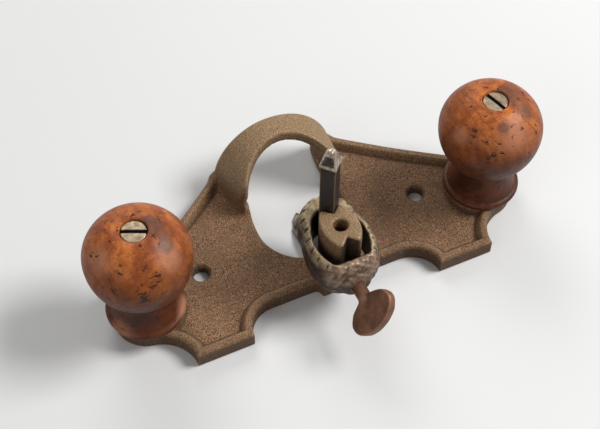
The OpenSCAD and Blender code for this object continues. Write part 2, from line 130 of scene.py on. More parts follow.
def skin(field, low, high, step):
    """Surface of a field as points and four-sided faces.

    Space is cut into cubes. A cube whose corners lie on both sides of the skin gets one point, the
    mean of the places where its edges cross the skin, and each crossed edge gives a face between
    the four cubes round it. Each point then slides along the slope on to the skin itself.
    """
    low = np.array(low, float)
    counts = np.ceil((np.array(high) - low) / step).astype(int) + 1
    grid = np.meshgrid(*[low[i] + step * np.arange(counts[i]) for i in range(3)], indexing="ij")
    values = field(*grid)
    within = values < 0.0
    offsets = np.array([(i, j, k) for i in (0, 1) for j in (0, 1) for k in (0, 1)])

    def cut(array, o):
        return array[tuple(slice(o[i], counts[i] - 1 + o[i]) for i in range(3))]

    full = sum(cut(within, o).astype(np.int8) for o in offsets)
    mixed = (full > 0) & (full < 8)
    cells = np.argwhere(mixed)
    number = np.full(mixed.shape, -1)
    number[mixed] = np.arange(len(cells))
    corner = {tuple(o): cut(values, o)[mixed] for o in offsets}
    total, crossings = np.zeros((len(cells), 3)), np.zeros((len(cells), 1))
    faces = []
    for axis in range(3):
        along = np.eye(3, dtype=int)[axis]
        for o in offsets[offsets[:, axis] == 0]:
            a, b = corner[tuple(o)], corner[tuple(o + along)]
            crossed = ((a < 0) != (b < 0))[:, None]
            part = np.divide(a, a - b, out=np.zeros_like(a), where=crossed[:, 0])[:, None]
            total += crossed * (o + part * along)
            crossings += crossed
        u, v = np.eye(3, dtype=int)[(axis + 1) % 3], np.eye(3, dtype=int)[(axis + 2) % 3]
        lower = np.take(within, np.arange(counts[axis] - 1), axis)
        upper = np.take(within, np.arange(1, counts[axis]), axis)
        edge = np.argwhere(lower != upper)
        edge = edge[((edge >= u + v) & (edge < counts - u - v)).all(1)]
        ring = np.stack([number[tuple((edge - s).T)] for s in (u + v, v, 0 * u, u)], axis=1)
        faces.append(np.where(lower[tuple(edge.T)][:, None], ring, ring[:, ::-1]))
    points = low + step * (cells + total / crossings)
    for _ in range(3):
        slope = slopes(field, points, 0.1 * step)
        size = np.maximum((slope ** 2).sum(1, keepdims=True), 0.05)
        move = field(*points.T)[:, None] * slope / size
        points -= np.clip(move, -0.5 * step, 0.5 * step)
    return points, np.concatenate(faces)


def bend(field, points, reach):
    """How far the skin bends away at each point: the field's mean over a small ball, in its radius.

    It is above 0 on edges, below 0 in inner corners and 0 on flats.
    """
    around = (-1, 0, 1)
    ways = np.array([(i, j, k) for i in around for j in around for k in around if i or j or k])
    ways = ways / np.linalg.norm(ways, axis=1)[:, None]
    return sum(field(*(points + reach * w).T) for w in ways) / (len(ways) * reach)


print("soft corner of two walls 4 mm away:", soft_max(-4.0, -4.0, 4.0), "mm")

# %% [markdown]
# ## From points to a piece
#
# Each new piece is a mesh at the origin whose points hold its place. It rides on a body of the
# imported model and stands for one node. The bend of the skin is stored on its points, because edges
# wear bright and inner corners are painted darker as shade.

# %% Helper for pieces
def make_piece(name, points, faces, body, node, slot, finish, **marks):
    """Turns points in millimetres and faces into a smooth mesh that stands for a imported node.

    Each mark is a value for every point, stored under its name for the finish to read.
    """
    mesh = bpy.data.meshes.new(name)
    mesh.from_pydata((points * MM).tolist(), [], faces.tolist())
    mesh.polygons.foreach_set("use_smooth", np.ones(len(faces), bool))
    for mark, values in marks.items():
        layer = mesh.attributes.new(mark, "FLOAT", "POINT")
        layer.data.foreach_set("value", values.astype(np.float32))
    mesh.materials.append(finish)
    mesh.update()
    piece = bpy.data.objects.new(name, mesh)
    bpy.context.scene.collection.objects.link(piece)
    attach(piece, body)
    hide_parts(node)
    print(name, len(points), "points", len(faces), "faces",
          points.min(0).round(1), points.max(0).round(1))


# %% [markdown]
# ## Writing a finish
#
# A finish is a chain of small sums on patterns. The class below holds one output of a shader node,
# and adding or multiplying such outputs adds the node that does it, so a finish reads like a
# formula. Colours are written as they look on a screen, from 0 to 255.

# %% Helpers for finishes
def screen(red, green, blue):
    """A screen colour as the linear colour that light is worked out in."""
    c = np.array([red, green, blue]) / 255.0
    return (*np.where(c <= 0.04045, c / 12.92, ((c + 0.055) / 1.055) ** 2.4).tolist(), 1.0)


class Signal:
    """One output of a shader node."""

    def __init__(self, finish, socket):
        self.finish, self.socket = finish, socket

    def sum(self, kind, a, b):
        return self.finish.add("ShaderNodeMath", {0: a, 1: b}, operation=kind)

    def __add__(self, other):
        return self.sum("ADD", self, other)

    def __radd__(self, other):
        return self.sum("ADD", other, self)

    def __sub__(self, other):
        return self.sum("SUBTRACT", self, other)

    def __rsub__(self, other):
        return self.sum("SUBTRACT", other, self)

    def __mul__(self, other):
        return self.sum("MULTIPLY", self, other)

    def __rmul__(self, other):
        return self.sum("MULTIPLY", other, self)

    def ramp(self, start, end, low=0.0, high=1.0):
        """Rises smoothly from low at start to high at end, and stays within them."""
        return self.finish.add("ShaderNodeMapRange", {0: self, 1: start, 2: end, 3: low, 4: high},
                               interpolation_type="SMOOTHSTEP")

    def blend(self, a, b):
        """Colour a where this is 0 and colour b where it is 1."""
        return self.finish.add("ShaderNodeMix", {0: self, 6: a, 7: b}, 2, data_type="RGBA")


class Nodes:
    """A tree of shader nodes that is built up one by one."""

    def __init__(self, tree):
        self.tree = tree
        self.tree.nodes.clear()

    def add(self, kind, inputs, output=0, **settings):
        """Adds a node of any kind, with its settings first, then its values and links."""
        node = self.tree.nodes.new(kind)
        for key, value in settings.items():
            setattr(node, key, value)
        for key, value in inputs.items():
            if isinstance(value, Signal):
                self.tree.links.new(value.socket, node.inputs[key])
            else:
                node.inputs[key].default_value = value
        return Signal(self, node.outputs[output]) if node.outputs else None


class Finish(Nodes):
    """The nodes of a new material, which starts from the object's own coordinates."""

    def __init__(self, name):
        self.material = bpy.data.materials.new(name)
        self.material.use_nodes = True
        super().__init__(self.material.node_tree)
        self.place = self.add("ShaderNodeTexCoord", {}, "Object")

    def stretched(self, x, y, z):
        """The object's own coordinates, scaled along each axis."""
        return self.add("ShaderNodeMapping", {"Vector": self.place, "Scale": (x, y, z)})

    def noise(self, scale, detail=2.0, rough=0.5, place=None, twist=0.0):
        """Cloudy pattern from 0 to 1, with features about 1 / scale metres wide."""
        return self.add("ShaderNodeTexNoise", {"Vector": place or self.place, "Scale": scale,
                                               "Detail": detail, "Roughness": rough, "Distortion": twist})

    def attribute(self, name):
        return self.add("ShaderNodeAttribute", {}, "Fac", attribute_name=name)

    def surface(self, inputs, height=None, depth=0.0001):
        """Ends the chain: shader inputs, and a height in units of the given depth for the relief."""
        if height is not None:
            inputs["Normal"] = self.add("ShaderNodeBump", {"Height": height, "Distance": depth,
                                                           "Strength": 1.0})
        self.add("ShaderNodeOutputMaterial", {"Surface": self.add("ShaderNodeBsdfPrincipled", inputs)})
        return self.material


print("mid grey on a screen is", round(screen(128, 128, 128)[0], 3), "of full light")

# %% [markdown]
# ## The skin of the iron base
#
# The base is grey iron with a thin brown skin of old japan and rust. Close up it is covered with
# grains about half a millimetre across, some of which catch the light, and the high edges are
# rubbed to a pale tan. The finish mixes two browns by a fine cloud for the grains and a wide cloud
# for handling, then adds the wear and the painted shade that were stored on the points, and pale
# flecks as painted glints.

# %% Finish of the casting
def casting_finish():
    f = Finish("brown_cast_iron")
    grains = f.noise(3300.0, 1.0, 0.5)
    clouds = f.noise(45.0, 4.0, 0.6)
    worn = f.attribute("worn") + 0.10 * (f.noise(220.0, 3.0) - 0.5)
    handled = f.attribute("handled") + 0.35 * (f.noise(90.0, 4.0, 0.6) - 0.5)
    grimy = f.attribute("grimy")
    brown = grains.ramp(0.38, 0.66).blend(screen(66, 44, 29), screen(188, 144, 105))
    brown = clouds.ramp(0.42, 0.74, 0.0, 0.35).blend(brown, screen(92, 66, 45))
    tan = grains.ramp(0.38, 0.66).blend(screen(112, 88, 63), screen(188, 157, 117))
    colour = handled.ramp(0.15, 0.85, 0.0, 0.85).blend(brown, tan)
    colour = worn.ramp(0.04, 0.22, 0.0, 0.55).blend(colour, tan)
    # Inner corners, where the bend is below 0, are painted dark as shade.
    colour = worn.ramp(-0.06, -0.24, 0.0, 0.55).blend(colour, screen(46, 31, 21))
    # Painted shade on the post's sides, in its grooves, low on the outer wall and in the sunk holes.
    colour = grimy.ramp(0.0, 1.0, 0.0, 0.85).blend(colour, screen(34, 24, 18))
    # Pale flecks are painted glints of grains that catch the light.
    painted_glints = f.noise(1100.0, 1.0, 0.4).ramp(0.70, 0.78, 0.0, 0.6)
    colour = painted_glints.blend(colour, screen(196, 176, 148))
    rough = 0.60 - 0.14 * worn.ramp(0.02, 0.20) + 0.12 * (clouds - 0.5)
    metal = worn.ramp(0.05, 0.25, 0.10, 0.30)
    relief = (1.0 - 0.6 * handled.ramp(0.3, 0.9)) * (grains + 0.5 * f.noise(900.0, 1.0))
    return f.surface({"Base Color": colour, "Roughness": rough, "Metallic": metal,
                      "Specular IOR Level": 0.35}, relief, 0.00034)


cast_iron = casting_finish()
print("finish:", cast_iron.name)

# %% [markdown]
# ## The outline of the base
#
# The base is drawn in plan from arcs: a waist beside the post, a straight heel, a hollow, a round
# end under each knob, a long slack front edge and the shallow bow of the arch. The two halves
# match, so only the right half is drawn. A table of distances to this line is worked out once, and
# every point of the casting reads it.

# %% Outline of the base
knob_x, knob_y, end_r = 80.7, -8.5, 14.5
heel_y, heel_inner_x, heel_outer_x, hollow_r = -39.7, 44.2, 69.8, 17.0
waist_y, waist_r, front_r = -26.6, 13.4, 420.0
arch_corner, arch_front_y = np.array([29.8, 44.8]), 46.6


def meet(p, a, q, b, side):
    """The point at distance a from p and b from q, on one side of the line from p to q."""
    way = q - p
    d = np.hypot(*way)
    s = (a * a - b * b + d * d) / (2 * d)
    return p + s * way / d + side * np.sqrt(a * a - s * s) * np.array([-way[1], way[0]]) / d


def toward(c, p):
    """The angle at which p is seen from c, in degrees."""
    return np.degrees(np.arctan2(p[1] - c[1], p[0] - c[0]))


def arc(c, r, start, end, count):
    """Points round c at radius r from one angle to another."""
    angle = np.radians(np.linspace(start, end, count))
    return np.stack([c[0] + r * np.cos(angle), c[1] + r * np.sin(angle)], axis=1)


knob_at = np.array([knob_x, knob_y])
waist_at = np.array([heel_inner_x - np.sqrt(waist_r ** 2 - (heel_y - waist_y + waist_r) ** 2),
                     waist_y - waist_r])
heel_corner = np.array([heel_outer_x, heel_y])
hollow_at = meet(knob_at, end_r + hollow_r, heel_corner, hollow_r, 1)
front_at = meet(knob_at, end_r + front_r, arch_corner, front_r, -1)
sag = arch_front_y - arch_corner[1]
bow_r = (arch_corner[0] ** 2 + sag ** 2) / (2 * sag)
bow_at = np.array([0.0, arch_front_y - bow_r])
half_line = np.concatenate([
    [[0.0, waist_y]],
    arc(waist_at, waist_r, 90.0, toward(waist_at, (heel_inner_x, heel_y)), 24),
    arc(hollow_at, hollow_r, toward(hollow_at, heel_corner) % 360, toward(hollow_at, knob_at), 24),
    arc(knob_at, end_r, toward(knob_at, hollow_at), toward(knob_at, front_at), 40),
    arc(front_at, front_r, toward(front_at, knob_at), toward(front_at, arch_corner), 24),
    arc(bow_at, bow_r, toward(bow_at, arch_corner), 90.0, 16)])

# %% Distances to the outline
pitch_of_table, table_low_y = 0.4, -46.0
table_a, table_y = np.meshgrid(np.arange(0.0, 108.0, pitch_of_table),
                               np.arange(table_low_y, 52.0, pitch_of_table), indexing="ij")
spot = np.stack([table_a.ravel(), table_y.ravel()], axis=1)
here, there = half_line[:-1], half_line[1:]
nearest = np.full(len(spot), 1e9)
passed = np.zeros(len(spot), int)
for a, b in zip(here, there):
    way = b - a
    t = np.clip(((spot - a) @ way) / max(way @ way, 1e-12), 0.0, 1.0)
    nearest = np.minimum(nearest, np.hypot(*(spot - a - t[:, None] * way).T))
    rises = (a[1] > spot[:, 1]) != (b[1] > spot[:, 1])
    meets_x = a[0] + (spot[:, 1] - a[1]) * way[0] / (way[1] if way[1] else 1e-12)
    passed += rises & (spot[:, 0] < meets_x)
edge_table = np.where(passed % 2 == 1, -nearest, nearest).reshape(table_a.shape)


def outline(a, y):
    """Distance to the base's outline in plan, below 0 inside, read from the table between its points."""
    u = np.clip(a / pitch_of_table, 0, edge_table.shape[0] - 1.001)
    v = np.clip((y - table_low_y) / pitch_of_table, 0, edge_table.shape[1] - 1.001)
    i, j = u.astype(int), v.astype(int)
    s, t = u - i, v - j
    return ((1 - s) * (1 - t) * edge_table[i, j] + s * (1 - t) * edge_table[i + 1, j]
            + (1 - s) * t * edge_table[i, j + 1] + s * t * edge_table[i + 1, j + 1])


print("outline of", len(half_line), "points; the middle of the plate lies",
      -round(float(outline(np.array([45.0]), np.array([0.0]))[0]), 1), "mm inside it")

# %% [markdown]
# ## The base casting
#
# Plate, rim, arch and post were poured as one piece. The plate is a slab whose top rises to a rim
# along the edge and to a boss under each knob. The arch is a round band over the throat whose legs
# taper towards the back and run out into the plate in a fillet, and the post is a leaf shape with a
# V down its front and back for the square shank. The throat, the round view through the arch and the
# tunnel under it are taken away last, with the holes, and get a slight round at each mouth. The sides
# of the throat's mouth bow inwards and flare at the front, and the legs thicken at their feet.

# %% The base casting
plate_t, rim_h, rim_w, boss_r = 5.0, 8.6, 3.5, 15.0
throat_r, throat_y, slot_half = 21.3, 9.0, 7.0
mouth_half, mouth_y, mouth_back_r, mouth_front_r = 19.1, 28.0, 61.0, 90.0
view_r, view_y, ledge_z = 22.75, 11.9, 5.6
arch_r, arch_z, tunnel_r, tunnel_z, arch_back_y = 28.6, 6.1, 23.3, 6.3, 20.0
arch_full_y, leg_slope = 38.5, 4.6 / 18.5
post_y, post_side_r, post_side_x, post_h = -27.5, 15.8, 7.65, 46.0
groove_depth, horn_y, post_hole_r, post_hole_z = 6.3, 10.2, 2.85, 30.0
post_foot_r, post_foot_back, post_tip_z, post_w = 9.8, 3.0, 11.0, 16.3
hole_x, hole_r, hole_head_r, stud_hole_r, stud_floor = 52.6, 3.5, 4.8, 2.85, 1.5
knob_boss_fillet, leg_fillet = 1.9, 4.6


def poured(x, y, z):
    """Plate with rim and bosses, arch and post in one soft union, cut level at the sole."""
    a, back = np.abs(x), y - post_y
    edge = outline(a, y)
    to_knob, to_post = np.hypot(a - knob_x, y - knob_y), np.hypot(a, back)
    raised = np.maximum(ramp(edge, -rim_w - 2.2, -rim_w + 0.8),
                        np.maximum(ramp(to_knob, boss_r + knob_boss_fillet, boss_r - 0.3),
                                   ramp(to_post, post_foot_r + 1.9, post_foot_r - 0.3)))
    wave = 0.10 * np.sin(0.21 * x + 0.13 * y + 1.0) * np.sin(0.17 * y - 0.09 * x)
    upper = plate_t + (rim_h - plate_t) * raised + wave
    plate = soft_max(edge, z - upper, 2.2)
    arch = np.hypot(a, np.maximum(z - arch_z, 0.0)) - arch_r + wave
    taper = (a - arch_r + leg_slope * (arch_full_y - y)) / np.hypot(1.0, leg_slope)
    arch = soft_max(soft_max(soft_max(arch, taper, 3.0), edge, 2.6), arch_back_y - y, 2.4)
    post = soft_max(np.hypot(a + post_side_x, back) - post_side_r, np.abs(back) - horn_y, 1.6)
    metal = soft_min(soft_min(plate, arch, leg_fillet), soft_max(post, z - post_h, 1.5), 3.4)
    return soft_max(metal, -z, 0.6)


def grooved(metal, a, y, z):
    """The post cut away behind its foot and cut with a V at the front and the back."""
    back = y - post_y
    below = np.maximum(np.maximum(back + post_foot_back, z - post_tip_z), a - post_w)
    metal = soft_max(metal, -below, 1.0)
    slot = np.maximum(np.maximum((a - back + groove_depth) / np.sqrt(2), a - slot_half), y - throat_y)
    metal = soft_max(metal, -slot, 1.1)
    return soft_max(metal, -(a + back + groove_depth) / np.sqrt(2), 0.7)


def openings(a, y, z):
    """The throat with its bowed mouth, the round view through the arch and the tunnel under it."""
    mouth = np.maximum(throat_r - (y - throat_y) ** 2 / (2 * mouth_back_r),
                       mouth_half + np.maximum(y - mouth_y, 0.0) ** 2 / (2 * mouth_front_r))
    throat = np.minimum(np.hypot(a, y - throat_y) - throat_r, np.maximum(a - mouth, throat_y - y))
    throat = np.maximum(throat, z - ledge_z - 2.0)
    foot_fill = 3.0 * ramp(z, 15.0, 5.0)
    view = np.maximum(np.hypot(a, y - view_y) - view_r + foot_fill, ledge_z + 1.4 - z)
    tunnel = np.hypot(a, z - tunnel_z) - tunnel_r + foot_fill
    tunnel = np.maximum(tunnel, np.maximum(arch_back_y - 1.0 - y, ledge_z - z))
    return np.minimum(np.minimum(throat, view), tunnel)


def casting_field(x, y, z):
    """The poured metal less the grooves, the openings, the screw holes and the bores."""
    a = np.abs(x)
    metal = soft_max(grooved(poured(x, y, z), a, y, z), -openings(a, y, z), 1.6)
    to_hole = np.hypot(a - hole_x, y)
    screw = np.minimum(to_hole - hole_r, (to_hole - hole_head_r + plate_t - z) / np.sqrt(2))
    metal = soft_max(metal, -screw, 0.5)
    bore = post_hole_r + 0.5 * ramp(z, post_h - 1.6, post_h)
    metal = soft_max(metal, -np.maximum(np.hypot(a, y - post_y) - bore, post_hole_z - z), 0.5)
    to_knob = np.hypot(a - knob_x, y - knob_y)
    return np.maximum(metal, -np.maximum(to_knob - stud_hole_r, stud_floor - z))


points, faces = skin(casting_field, (-104.5, -42.5, -1.5), (104.5, 48.5, 48.5), 0.62)

# %% [markdown]
# ## Wear and painted shade on the casting
#
# Hands rub the outside of the arch and a little of the rim. The top of the post is painted paler,
# as rubbed wear and as a painted highlight. The post's sides, its grooves, the low outer wall and
# the sunk screw holes are painted darker as shade. Each mark is worked out from the place of a
# point, so it follows the shape.

# %% Wear and painted shade on the casting
x, y, z = points.T
outside = ramp(np.hypot(x, z - arch_z), tunnel_r + 1.0, arch_r - 2.0)
# The top of the post, above 45 mm, is painted paler as rubbed wear and as a painted highlight.
rubbed = np.maximum(ramp(z, 9.0, 24.0) * ramp(y, 17.0, 24.0) * outside, ramp(z, 45.0, 45.9))
rubbed = np.maximum(rubbed, 0.35 * ramp(z, 7.4, 8.3) * ramp(y, -25.0, 5.0))
# Painted shade: the post's sides, its grooves, the low outer wall and the sunk screw holes.
shade_mask = ramp(z, 43.5, 32.0) * ramp(z, 8.8, 12.0) * ramp(y, -12.0, -14.0)
in_groove = ramp(np.abs(np.abs(x) + y - post_y + groove_depth), 1.2, 0.4)
in_groove = in_groove * ramp(z, 45.7, 44.3) * ramp(z, 8.8, 12.0)
wall = 0.55 * ramp(outline(np.abs(x), y), -1.2, -0.3) * ramp(z, 8.0, 6.2)
sunk = 0.45 * ramp(np.hypot(np.abs(x) - hole_x, y), hole_head_r + 0.3, hole_head_r - 0.5)
shade_mask = np.maximum(np.maximum(shade_mask, in_groove), np.maximum(wall, sunk))
make_piece("casting", points, faces, "base", "base_casting", "casting", cast_iron,
           worn=bend(casting_field, points, 1.2), handled=rubbed, grimy=shade_mask)

# %% [markdown]
# ## Varnished wood
#
# The knobs were turned from a close pale wood, stained and varnished to an orange brown. Years of
# hands have darkened them in patches, most of all round the nut, and opened small pits that hold
# dirt. The lower bowl and the neck are painted darker, partly as grime and partly as painted shade,
# and soft pale patches are painted sheen. The growth rings cut the surface in faint wavy lines.

# %% Finish of the knobs
def wood_finish():
    f = Finish("varnished_wood")
    x = f.add("ShaderNodeSeparateXYZ", {0: f.place}, "X")
    z = f.add("ShaderNodeSeparateXYZ", {0: f.place}, "Z")
    flow = f.noise(48.0, 3.0, 0.55)
    rings = f.add("ShaderNodeMath", {0: 1300.0 * x + 420.0 * z + 26.0 * flow}, operation="SINE")
    pores = f.noise(900.0, 2.0, 0.6, f.stretched(0.5, 1.0, 0.25))
    figure = f.noise(95.0, 4.0, 0.62, f.stretched(1.0, 1.0, 0.5), 1.2)
    patches = f.noise(62.0, 5.0, 0.66, None, 0.6)
    pits = f.noise(640.0, 2.5, 0.6, f.stretched(0.6, 0.6, 1.0), 0.3) + 0.13 * f.attribute("pitted")
    # Below about 66 mm the wood is painted darker towards the bottom, partly as grime and partly as painted
    # shade.
    grime_and_low_shade = z + 0.016 * (patches - 0.5)
    specks = f.noise(1500.0, 1.0, 0.5)
    colour = figure.ramp(0.34, 0.68).blend(screen(206, 118, 54), screen(152, 75, 34))
    colour = rings.ramp(0.1, 1.0, 0.0, 0.30).blend(colour, screen(122, 54, 22))
    colour = pores.ramp(0.54, 0.74, 0.0, 0.45).blend(colour, screen(104, 45, 18))
    colour = patches.ramp(0.52, 0.68, 0.0, 0.66).blend(colour, screen(106, 50, 28))
    colour = specks.ramp(0.66, 0.78, 0.0, 0.55).blend(colour, screen(78, 34, 16))
    grime_and_shade_colour = patches.ramp(0.40, 0.62).blend(screen(44, 18, 7), screen(92, 45, 24))
    colour = grime_and_low_shade.ramp(0.066, 0.036, 0.0, 0.92).blend(colour, grime_and_shade_colour)
    # Pale pink patches at the listed places are painted sheen.
    painted_sheen = f.attribute("painted_sheen") + 0.5 * (f.noise(75.0, 4.0, 0.6) - 0.5)
    colour = painted_sheen.ramp(0.05, 0.95, 0.0, 0.60).blend(colour, screen(204, 140, 106))
    stained = f.attribute("stained") + 1.1 * (f.noise(140.0, 4.0, 0.65) - 0.5)
    colour = stained.ramp(0.22, 0.90, 0.0, 0.70).blend(colour, screen(88, 64, 56))
    colour = pits.ramp(0.61, 0.72, 0.0, 0.92).blend(colour, screen(42, 17, 8))
    rough = 0.34 + 0.16 * patches + 0.10 * pits
    relief = 0.5 * pores - 1.2 * pits.ramp(0.58, 0.70) + 0.9 * figure
    return f.surface({"Base Color": colour, "Roughness": rough, "Coat Weight": 0.07,
                      "Coat Roughness": 0.22, "Specular IOR Level": 0.22}, relief, 0.00015)


wood = wood_finish()
print("finish:", wood.name)

# %% [markdown]
# ## The knobs
#
# A knob is turned on a lathe, so it is a profile carried once round an axis. The profile starts in
# the bore, runs out along the seat, round the edge of the foot, in along the hollow neck, over the
# full bowl, the dome and the flat top, and goes down the counterbore for the nut, so that the
# surface closes on itself.

# %% The knobs
knob_r, widest_z, dome_h, bowl_h = 22.4, 47.2, 18.9, 24.6
neck_r, foot_r, foot_h, seat_r, flat_r = 12.4, 17.1, 3.4, 15.4, 8.7
stud_bore_r, sleeve_bore_r, head_bore_r = 3.1, 4.3, 5.65
flat_turn = np.arccos(flat_r / knob_r)
knob_top_z = widest_z + dome_h * np.sin(flat_turn)
nut_top_z = knob_top_z - 0.6
nut_seat_z, nut_end_z = nut_top_z - 3.0, nut_top_z - 21.0


def knob_profile():
    """Radius and height of the closed profile: seat, foot, neck, bowl, dome, flat and bore in turn."""
    angle = np.linspace(-90, 90, 25) * np.pi / 180
    foot = np.stack([seat_r + (foot_r - seat_r) * np.cos(angle),
                     rim_h + foot_h / 2 * (1 + np.sin(angle))], axis=1)
    neck_turn = np.arccos(neck_r / knob_r)
    neck_z = widest_z - bowl_h * np.sin(neck_turn)
    way = np.linspace(0, 1, 18)[1:-1]
    neck = np.stack([seat_r - (seat_r - neck_r) * np.sin(way * np.pi / 2),
                     rim_h + foot_h + (neck_z - rim_h - foot_h) * way], axis=1)
    angle = np.linspace(neck_turn, 0, 30)
    bowl = np.stack([knob_r * np.cos(angle), widest_z - bowl_h * np.sin(angle)], axis=1)
    angle = np.linspace(0, 0.985 * flat_turn, 36)[1:]
    dome = np.stack([knob_r * np.cos(angle), widest_z + dome_h * np.sin(angle)], axis=1)
    flat = [[flat_r - 0.3, knob_top_z - 0.06], [flat_r - 0.9, knob_top_z], [head_bore_r + 0.7, knob_top_z]]
    lip = [[head_bore_r + 0.2, knob_top_z - 0.1], [head_bore_r, knob_top_z - 0.35]]
    bore = [[head_bore_r, nut_seat_z], [sleeve_bore_r, nut_seat_z], [sleeve_bore_r, nut_end_z - 1],
            [stud_bore_r, nut_end_z - 1], [stud_bore_r, rim_h]]
    seat = np.stack([np.linspace(stud_bore_r, seat_r, 8)[1:-1], np.full(6, rim_h)], axis=1)
    return np.concatenate([seat, foot, neck, bowl, dome, flat, lip, bore])


def turned_piece(profile, centre, count):
    """Carries a closed profile round an upright axis: points r cos u, r sin u and z."""
    angle = np.linspace(0, 2 * np.pi, count, endpoint=False)[:, None]
    r, z = profile.T
    points = np.stack([centre[0] + r * np.cos(angle), centre[1] + r * np.sin(angle),
                       np.broadcast_to(z, (count, len(r)))], axis=2)
    ids = np.arange(count * len(r)).reshape(count, len(r))
    beside, above = np.roll(ids, -1, axis=0), np.roll(ids, -1, axis=1)
    both = np.roll(beside, -1, axis=1)
    return points.reshape(-1, 3), np.stack([ids, beside, both, above], axis=2).reshape(-1, 4)


# %% [markdown]
# ## Marks on the knobs
#
# Stains, pits and patches of painted sheen are given by their turn round the knob in degrees, their
# height over its widest ring and their radius in millimetres. They are listed in steps of 15 degrees
# and 3 mm, and the finish breaks up their edges.

# %% Marks on the knobs
def spots(points, middle, table):
    """Sum of soft spots: each fades as exp(-(d / r) ** 2) with the distance d from its place."""
    turn, height, r = np.array(table).T
    turn, rise = np.radians(turn), np.clip(height / dome_h, -1.0, 1.0)
    out = np.where(height < -bowl_h, foot_r, knob_r * np.sqrt(1.0 - rise ** 2))
    place = middle + np.stack([out * np.cos(turn), out * np.sin(turn), height], axis=1)
    apart = np.linalg.norm(points - place[:, None], axis=2)
    return np.exp(-(apart / r[:, None]) ** 2).sum(axis=0)


round_the_nut = (0, 18, 7)
marks_of = {
    "left": {"stained": [round_the_nut, (-45, 15, 4)],
             "pitted": [(-90, 9, 4), (-105, 3, 3), (-135, 6, 3), (180, 12, 3)],
             "painted_sheen": [(-165, 12, 6), (-60, 12, 6), (-150, -36, 6), (-30, -36, 6)]},
    "right": {"stained": [round_the_nut, (-45, 15, 4), (-105, 15, 3)],
              "pitted": [(-120, 6, 4), (-150, 12, 3), (0, 15, 3)],
              "painted_sheen": [(-90, 12, 8), (-165, 9, 4)]}}
for side, name in ((-1, "left"), (1, "right")):
    points, faces = turned_piece(knob_profile(), (side * knob_x, knob_y), 144)
    middle = np.array([side * knob_x, knob_y, widest_z])
    marks = {kind: spots(points, middle, table) for kind, table in marks_of[name].items()}
    make_piece("turned_knob_" + name, points, faces, "base", name + "_knob", "knob_wood", wood, **marks)

# %% [markdown]
# ## Worn plated steel
#
# The nuts were plated once. What is left is a dull silver with fine scratches from screwdrivers. The
# slot, the side of the head below its top and the inner corners are painted dark as shade.

# %% Finish of the nuts and the studs
def plated_finish():
    f = Finish("worn_plate")
    worn = f.attribute("worn")
    stains = f.noise(420.0, 4.0, 0.6)
    lines = f.noise(700.0, 2.0, 0.5, f.stretched(1.0, 0.12, 1.0), 0.4)
    colour = stains.ramp(0.35, 0.75).blend(screen(176, 157, 132), screen(116, 99, 80))
    # Inner corners are painted dark as shade.
    colour = worn.ramp(-0.04, -0.22, 0.0, 0.9).blend(colour, screen(38, 28, 22))
    # The slot and the side of the head, below its top, are painted near black as shade.
    colour = f.attribute("grimy").ramp(0.0, 1.0, 0.0, 0.95).blend(colour, screen(20, 15, 12))
    rough = 0.36 + 0.25 * stains + 0.15 * (lines - 0.5)
    return f.surface({"Base Color": colour, "Roughness": rough, "Metallic": 0.85},
                     lines + 0.6 * stains, 0.00006)


def steel_finish():
    f = Finish("plain_steel")
    film = f.noise(260.0, 3.0)
    turned = f.noise(1900.0, 1.0, 0.4, f.stretched(0.2, 0.2, 1.0))
    colour = film.ramp(0.35, 0.70).blend(screen(128, 126, 124), screen(92, 84, 76))
    return f.surface({"Base Color": colour, "Roughness": 0.38 + 0.2 * film, "Metallic": 0.9},
                     turned + film, 0.00005)


plate_metal, stud_metal = plated_finish(), steel_finish()
for name in ("left_stud", "right_stud"):
    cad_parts[name].data.materials.clear()
    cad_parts[name].data.materials.append(stud_metal)
print("finishes:", plate_metal.name, stud_metal.name)

# %% [markdown]
# ## The barrel nuts
#
# Each nut is a slotted head on a sleeve, threaded inside for the stud. The head is flat with a
# slightly rubbed rim, and the slots stand where they were left when the knobs were last tightened.

# %% The barrel nuts
nut_head_r, nut_sleeve_r, nut_bore_top = 5.35, 4.0, nut_end_z + 14.0
slot_half_w, slot_floor_z = 0.8, nut_top_z - 1.3


def nut_field(centre_x, slot_turn):
    """Head and sleeve together, less the threaded bore and the slot across the head."""
    c, s = np.cos(np.radians(slot_turn)), np.sin(np.radians(slot_turn))

    def field(x, y, z):
        u, v = x - centre_x, y - knob_y
        r = np.hypot(u, v)
        head = soft_max(soft_max(r - nut_head_r, z - nut_top_z + 0.006 * r * r, 0.7), nut_seat_z - z, 0.3)
        sleeve = np.maximum(np.maximum(r - nut_sleeve_r, z - nut_top_z + 1.0), nut_end_z - z)
        metal = soft_min(head, sleeve, 0.3)
        metal = np.maximum(metal, -np.maximum(r - stud_hole_r, z - nut_bore_top))
        cut = np.maximum(np.abs(c * v - s * u) - slot_half_w, slot_floor_z - z)
        return soft_max(metal, -cut, 0.25)

    return field


for side, name, slot_turn in ((-1, "left", -24.0), (1, "right", -73.0)):
    field = nut_field(side * knob_x, slot_turn)
    low = (side * knob_x - 6.0, knob_y - 6.0, 42.5)
    points, faces = skin(field, low, (side * knob_x + 6.0, knob_y + 6.0, 64.8), 0.24)
    # Points below the top of the head are marked for painted shade.
    below_top_shade = ramp(points[:, 2], nut_top_z - 0.25, nut_top_z - 0.6)
    make_piece("slotted_nut_" + name, points, faces, "base", name + "_nut", "nut_metal",
               plate_metal, worn=bend(field, points, 0.5), grimy=below_top_shade)
